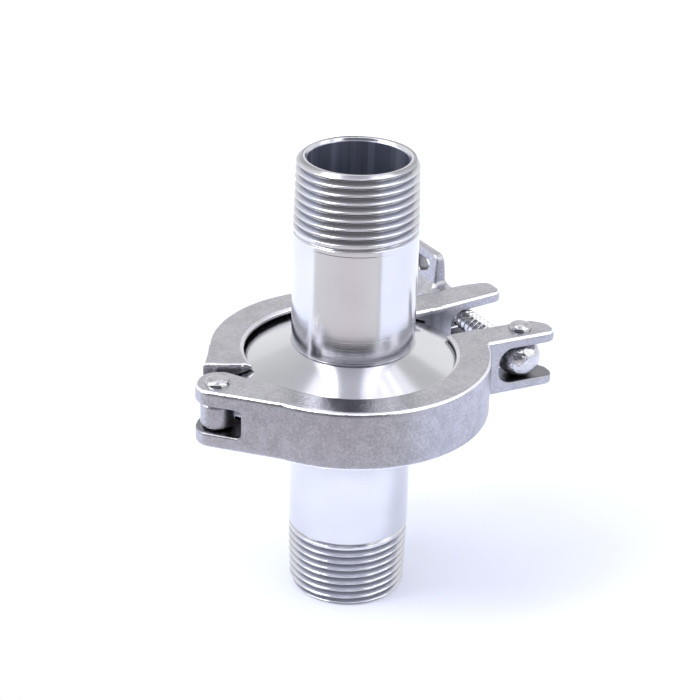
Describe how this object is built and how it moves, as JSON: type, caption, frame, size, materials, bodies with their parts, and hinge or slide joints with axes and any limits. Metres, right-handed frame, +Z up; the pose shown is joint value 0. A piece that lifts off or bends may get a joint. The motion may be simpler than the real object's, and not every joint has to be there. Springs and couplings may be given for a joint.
{
  "type": "sanitary clamp union",
  "caption": "Pipe union: flanged ferrules with tapered male threads meet on a gasket inside a hinged V-groove clamp closed by a swing bolt and wing nut.",
  "frame": {"origin": "centre of the lower pipe's end face, on the pipe axis, which the part stands on", "axes": "+Z up along the pipe axis; the hinge pin is at -X, the swing bolt's pivot pin at +X, and the bolt runs from the pivot towards +Y, the rear"},
  "size_m": [0.106, 0.093, 0.1288],
  "materials": {
    "upper_ferrule": "polished stainless steel",
    "lower_ferrule": "polished stainless steel",
    "gasket": "white silicone",
    "front_half": "satin investment casting",
    "rear_half": "satin investment casting",
    "hinge_pin": "polished rivet",
    "bolt_pin": "polished rivet",
    "swing_bolt": "polished stainless steel",
    "wing_nut": "satin investment casting"
  },
  "bodies": {
    "fixed_clamp_half_and_ferrules": {"front_half": "front_half", "upper_ferrule": "upper_ferrule", "lower_ferrule": "lower_ferrule", "gasket": "gasket", "hinge_pin": "hinge_pin", "bolt_pin": "bolt_pin"},
    "rear_clamp_half": {"rear_half": "rear_half"},
    "bolt": {"swing_bolt": "swing_bolt"},
    "nut": {"wing_nut": "wing_nut"}
  },
  "joints": [
    {"name": "bolt_swing", "type": "hinge", "parent": "fixed_clamp_half_and_ferrules", "child": "bolt", "pos_m": [0.0493, -0.0052, 0.0644], "axis": [0, 0, -1], "range_deg": [0, 100]},
    {"name": "wing_nut_travel", "type": "slide", "parent": "bolt", "child": "nut", "axis": [-0.0958, 0.9954, 0], "range_m": [-0.00537, 0.00995]},
    {"name": "rear_half_open", "type": "hinge", "parent": "fixed_clamp_half_and_ferrules", "child": "rear_clamp_half", "pos_m": [-0.0415, -0.0052, 0.0644], "axis": [0, 0, 1], "range_deg": [-3.4, 6.31]}
  ],
  "couplings": [
    {"joint": "rear_half_open", "follows": "wing_nut_travel", "rad_per_m": 11.05}
  ]
}
